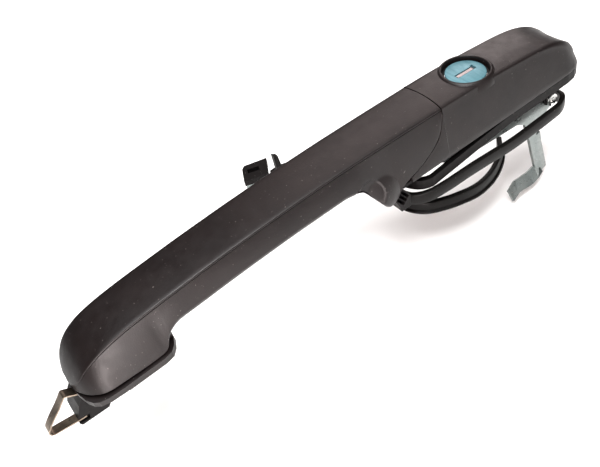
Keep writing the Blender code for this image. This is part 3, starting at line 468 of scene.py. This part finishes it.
def make_rib_block():
    outline = [(138.4, -2.4), (142.6, 1.5), (146.9, -4.8), (146.4, -8.6), (146.4, -11.0),
               (141.3, -11.0), (140.6, -7.4)]
    block = prism("rib_block", outline, -13.6, 12.6, BLACK, "XZ")
    cut(block, prism("hook", [(145.6, -2.7), (160.5, -2.7), (160.5, -0.9), (145.6, -0.9)],
                     -10.85, -9.35, BLACK, "XZ"), mode="UNION")
    for k in range(3):
        u, w = Vector((0.56, -0.828)), Vector((-0.72, -0.694))
        start = Vector((142.6, 1.5)) + w * (0.55 + 1.8 * k) + u * 0.8
        cell = [start, start + u * 6.1, start + u * 6.1 + w * 1.35, start + w * 1.35]
        for low, high in ((-14.6, -11.2), (10.4, 13.8)):
            cut(block, prism("cell", [tuple(c) for c in cell], low, high, BLACK, "XZ"))
    settle(block, BLACK, 30)
    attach(block, "grip")
    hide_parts("grip_tongue")
    bevel(block, 0.18, 2, 30)


# ---------------------------------------------------------------- lock housing
def housing_half(x):
    base_y = curve(HOUSING_BASE_Y, x)
    if x < 168.8:
        top = max(curve(BASE_Z, x) - 0.45, HOUSING_BASE_Z + 1.4)
        top_y = base_y - (top - HOUSING_BASE_Z) * 0.137
        radius, rise = 0.3, 0.02
    else:
        top, top_y = curve(HOUSING_CREASE_Z, x), curve(HOUSING_CREASE_Y, x)
        radius, rise = 0.9, 0.8
    if x > 226:
        t = (x - 226) / 26
        radius = min(0.9 + 3.4 * t, top_y * 0.55, max(0.35, (top - 2.5) * 0.45))
        rise = 0.8 * (1 - t)
    base = [((base_y - 0.5) * 0.5, HOUSING_BASE_Z), (base_y - 0.5, HOUSING_BASE_Z),
            (base_y - 0.12, HOUSING_BASE_Z + 0.12), (base_y, HOUSING_BASE_Z + 0.5)]
    middle = top - radius * 0.5
    y0, z0 = base[-1]
    side = []
    for k in range(1, 8):
        t = k / 8
        side.append((y0 + (top_y - y0) * t + 0.25 * 4 * t * (1 - t) * min(1, (middle - z0) / 10),
                     z0 + (middle - z0) * t))
    return base + side + crown(top_y, top, rise, radius)


HOUSING_X = (spread(148, 168.6, 0.5) + [168.62, 168.74, 168.9, 169.2] + spread(170, 228, 2.0)
             + spread(228, 245, 0.8) + spread(245, 252.25, 0.35) + [252.25])


def make_housing():
    rings = [bow(mirror_ring(x, housing_half(x)), x, 148, GRIP_END_X, ARC_BULGE)
             for x in HOUSING_X]
    shell = loft("housing_shell", rings, GRIP)
    hollow = []
    for x in (167, 169, 172, 180, 193, 205, 215, 225, 232, 237, 241, 243.5):
        lid = curve(HOUSING_CREASE_Z, x) - WALL - 0.8
        low = curve(HOUSING_BASE_Y, x) - WALL
        high = (curve(HOUSING_CREASE_Y, x) if x > 168.9 else 11.8) - WALL
        if x > 240:
            low, high, lid = low - 1.0, high - 1.5, lid - 2.0
        waist_z = min(16.5, 3 + (lid - 3) * 0.7)
        waist = high + (low - high) * (lid - waist_z) / (lid - 3)
        if x < 207:
            waist = max(waist, LEVER_ROOM)
        hollow.append(mirror_ring(x, [(low, 0), (low, 3), (waist, waist_z), (high, lid)]))
    bore = lathe("bore", [(0, -12), (BARREL_BORE_R, -12), (BARREL_BORE_R, 6), (0, 6)],
                 at_lock, GRIP)
    throat = prism("throat", [(-THROAT_HALF, -0.5), (THROAT_HALF, -0.5), (THROAT_HALF, 20),
                              (-THROAT_HALF, 20)], 140, 168.1, GRIP, "YZ")
    cut(shell, loft("hollow", hollow, GRIP), bore, throat)
    settle(shell, GRIP, 38)
    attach(shell, "handle_base")
    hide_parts("lock_housing")
    profile = [(9.95, -5.0), (10.4, -5.0), (10.4, -1.6)]
    profile += [(12.75, -2.6), (12.6, -1.6), (12.2, -0.4), (11.75, 0.45), (11.3, 1.0),
                (10.85, 1.35),
                (10.45, 1.5), (10.15, 1.42), (9.98, 1.2), (BEZEL_BORE_R, 0.9)]
    lathe("lock_ring", profile, at_lock, GRIP, "handle_base", 128, hides=["lock_bezel"],
          slot="black_plastic", angle=60)


def make_lock():
    rim = [(0, -0.95), (8.45, -0.95), (8.6, -0.85), (CAP_R, -0.6), (8.64, -0.25), (8.55, -0.08),
           (8.4, 0.0), (0, 0.0)]
    face = lathe("lock_disc", rim, at_lock, TEAL, count=128)
    slot = [(-5.3, -1.15), (5.3, -1.15), (5.3, 2.0), (4.0, 2.0), (4.0, 1.2), (-5.3, 1.2)]
    cutter = loft("slot", [[at_lock(a, b, h) for a, b in slot] for h in (-3, 3)], TEAL)
    cut(face, cutter)
    settle(face, TEAL, 40)
    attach(face, "plug")
    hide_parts("lock_face")
    well = [(8.75, -2.6), (9.9, -2.6), (9.9, -1.25), (8.75, -1.25)]
    lathe("lock_well", well, at_lock, DEEP, "handle_base", slot="black_plastic")


# ---------------------------------------------------------------- rubber and wire
def make_soft():
    loop = [(-1.25, -2.2), (-1.1, -2.65), (-0.7, -2.9), (0.7, -2.9), (1.1, -2.65), (1.25, -2.2),
            (1.3, 0), (1.25, 2.2), (1.1, 2.65), (0.7, 2.9), (-0.7, 2.9), (-1.1, 2.65),
            (-1.25, 2.2)]
    loft("gasket", sweep_rings(smooth_path(GASKET_PATH, 10, True), loop, True), RUBBER,
         "handle_base", closed=True, hides=["base_gasket"], slot="rubber")
    band = [(-1.3, -2.9), (0.4, -3.0), (2.0, -3.0), (2.25, -2.75), (2.3, -2.4), (2.1, -2.0),
            (1.3, -1.6), (1.25, 2.2), (1.0, 2.65), (0.5, 2.8), (-0.6, 2.8), (-1.1, 2.6),
            (-1.3, 2.2)]
    loft("strap", sweep_rings(smooth_path(STRAP_PATH, 10, False), band), RUBBER, "handle_base",
         hides=["drain_strap"], slot="rubber")
    ring = [(9.45 + 0.9 * math.cos(a), -7.1 + 0.9 * math.sin(a))
            for a in [math.radians(22.5 * k) for k in range(16)]]
    lathe("o_ring", ring, at_lock, RUBBER, "handle_base", hides=["barrel_o_ring"], slot="rubber")


def strip_outline(path, thickness):
    left, right = [], []
    for i, (x, z) in enumerate(path):
        a = path[max(0, i - 1)]
        b = path[min(len(path) - 1, i + 1)]
        d = Vector((b[0] - a[0], b[1] - a[1])).normalized()
        n = Vector((-d.y, d.x)) * thickness / 2
        left.append((x + n.x, z + n.y))
        right.append((x - n.x, z - n.y))
    return left, right


def make_clip():
    path = [(p.x, p.y) for p in smooth_path([(x, z, 0) for x, z in CLIP_PATH], 6, False)]
    left, right = strip_outline(path, 0.55)
    rings = []
    for (lx, lz), (rx, rz) in zip(left, right):
        rings.append([(lx, -5.0, lz), (lx, -1.0, lz), (rx, -1.0, rz), (rx, -5.0, rz)])
    clip = loft("nose_clip", rings, BRONZE, "handle_base", hides=["spring_clip"],
                slot="spring_steel")
    bevel(clip, 0.12)


def make_coil():
    cx, cz = 232.0, -8.0
    path = [Vector((cx - 6.6, -6.4, cz + 2.4)), Vector((cx - 4.4, -6.5, cz + 2.0))]
    turns = 4
    for k in range(turns * 28 + 1):
        a = 2 * math.pi * k / 28 + math.radians(150)
        path.append(Vector((cx + 2.9 * math.cos(a), -6.6 + 3.9 * k / (turns * 28),
                            cz + 2.9 * math.sin(a))))
    path.append(Vector((cx - 1.6, -2.6, cz + 4.0)))
    wire = [(0.35 * math.cos(a), 0.35 * math.sin(a)) for a in
            [math.radians(36 * k) for k in range(10)]]
    loft("return_coil", sweep_rings(path, wire, up=(0, 1, 0)), BRONZE, "handle_base",
         hides=["lever_spring"], slot="spring_steel")


# ---------------------------------------------------------------- carried-over CAD pieces
CARRIED = {
    GRIP: ["front_pad"],
    BLACK: ["base_frame", "front_hook", "lock_arm", "rod_clip",
            "lever_hub_washer"],
    ZINC: ["release_lever", "arm_plate", "plug_cam", "plug_tail"],
    CASTING: ["bracket", "lock_barrel", "lock_plug", "grip_core"],
    STEEL: ["grip_screw_front", "grip_screw_rear", "bracket_screw_front", "bracket_screw_rear",
            "fixing_screw", "plug_circlip", "shutter_pin", "arm_rivet", "grip_pivot_pin",
            "lever_pin", "lever_pin_clip"],
    SHUTTER: ["key_shutter"],
    BRASS: ["wafer_1", "wafer_2", "wafer_3"],
}
EDGE = {"base_frame": 0.35, "front_pad": 0.3, "front_hook": 0.35,
        "lock_arm": 0.35, "rod_clip": 0.3, "release_lever": 0.18, "arm_plate": 0.15,
        "bracket": 0.3, "fixing_screw": 0.1, "key_shutter": 0.05}


def carry():
    for mat, names in CARRIED.items():
        for name in names:
            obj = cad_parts[name]
            for slot in obj.material_slots:
                slot.material = mat
            if name in EDGE:
                bevel(obj, EDGE[name], 2, 30)


# ---------------------------------------------------------------- room, light and camera
def make_room():
    bm = bmesh.new()
    for x, y in ((-4, -4), (4, -4), (4, 4), (-4, 4)):
        bm.verts.new((x, y, FLOOR_Z))
    bm.faces.new(bm.verts)
    mesh = bpy.data.meshes.new("floor")
    bm.to_mesh(mesh)
    bm.free()
    floor = bpy.data.objects.new("floor", mesh)
    bpy.context.scene.collection.objects.link(floor)
    s = Shader("pale_floor")
    s.colour(s.ramp(s.noise(3.0, 2.0), [(0.3, (0.93, 0.93, 0.92)), (0.7, (0.95, 0.95, 0.94))]))
    s.rough(s.noise(40.0), 0.5, 0.6)
    floor.data.materials.append(s.mat)
    world = bpy.data.worlds.new("sky")
    world.use_nodes = True
    back = world.node_tree.nodes["Background"]
    back.inputs["Color"].default_value = (1.0, 1.0, 1.0, 1.0)
    back.inputs["Strength"].default_value = 0.1
    bpy.context.scene.world = world


def area(name, place, target, size, power, colour=(1, 1, 1)):
    data = bpy.data.lights.new(name, "AREA")
    data.shape = "SQUARE"
    data.size = size
    data.energy = power
    data.color = colour
    obj = bpy.data.objects.new(name, data)
    bpy.context.scene.collection.objects.link(obj)
    obj.location = Vector(place)
    direction = Vector(target) - Vector(place)
    obj.rotation_euler = direction.to_track_quat("-Z", "Y").to_euler()
    return obj


def make_lights():
    area("top", (0.0, -0.1, 1.1), (0.06, 0, 0), 0.9, 25.0)
    area("back", (0.36, 0.36, 0.42), (0.16, 0, 0.02), 0.25, 0.75, (1.0, 0.86, 0.84))
    area("rear", (0.47, 0.26, 0.185), (0.2, 0, 0.02), 0.16, 0.45, (1.0, 0.88, 0.86))
    area("low", (-0.07, -0.25, 0.02), (0.0, 0, 0), 0.12, 1.1, (1.0, 0.9, 0.88))
    area("right", (0.32, -0.36, 0.12), (0.13, 0, -0.02), 0.3, 0.3)
    area("floor_fill", (0.03, -0.12, 0.25), (0.03, -0.1, -0.05), 0.06, 0.6)


def make_camera():
    data = bpy.data.cameras.new("camera")
    data.lens = 45.0
    data.sensor_width = 36.0
    data.clip_start = 0.01
    camera = bpy.data.objects.new("camera", data)
    bpy.context.scene.collection.objects.link(camera)
    camera.matrix_world = Matrix(((0.790843, 0.541416, -0.285369, -0.008201),
                                  (-0.578033, 0.507544, -0.638965, -0.194308),
                                  (-0.201108, 0.670274, 0.714345, 0.216102),
                                  (0.0, 0.0, 0.0, 1.0)))
    bpy.context.scene.camera = camera


make_grip()
make_rib_block()
make_housing()
make_lock()
make_soft()
make_clip()
make_coil()
carry()
make_room()
make_lights()
make_camera()
bpy.context.scene.view_settings.view_transform = "Standard"
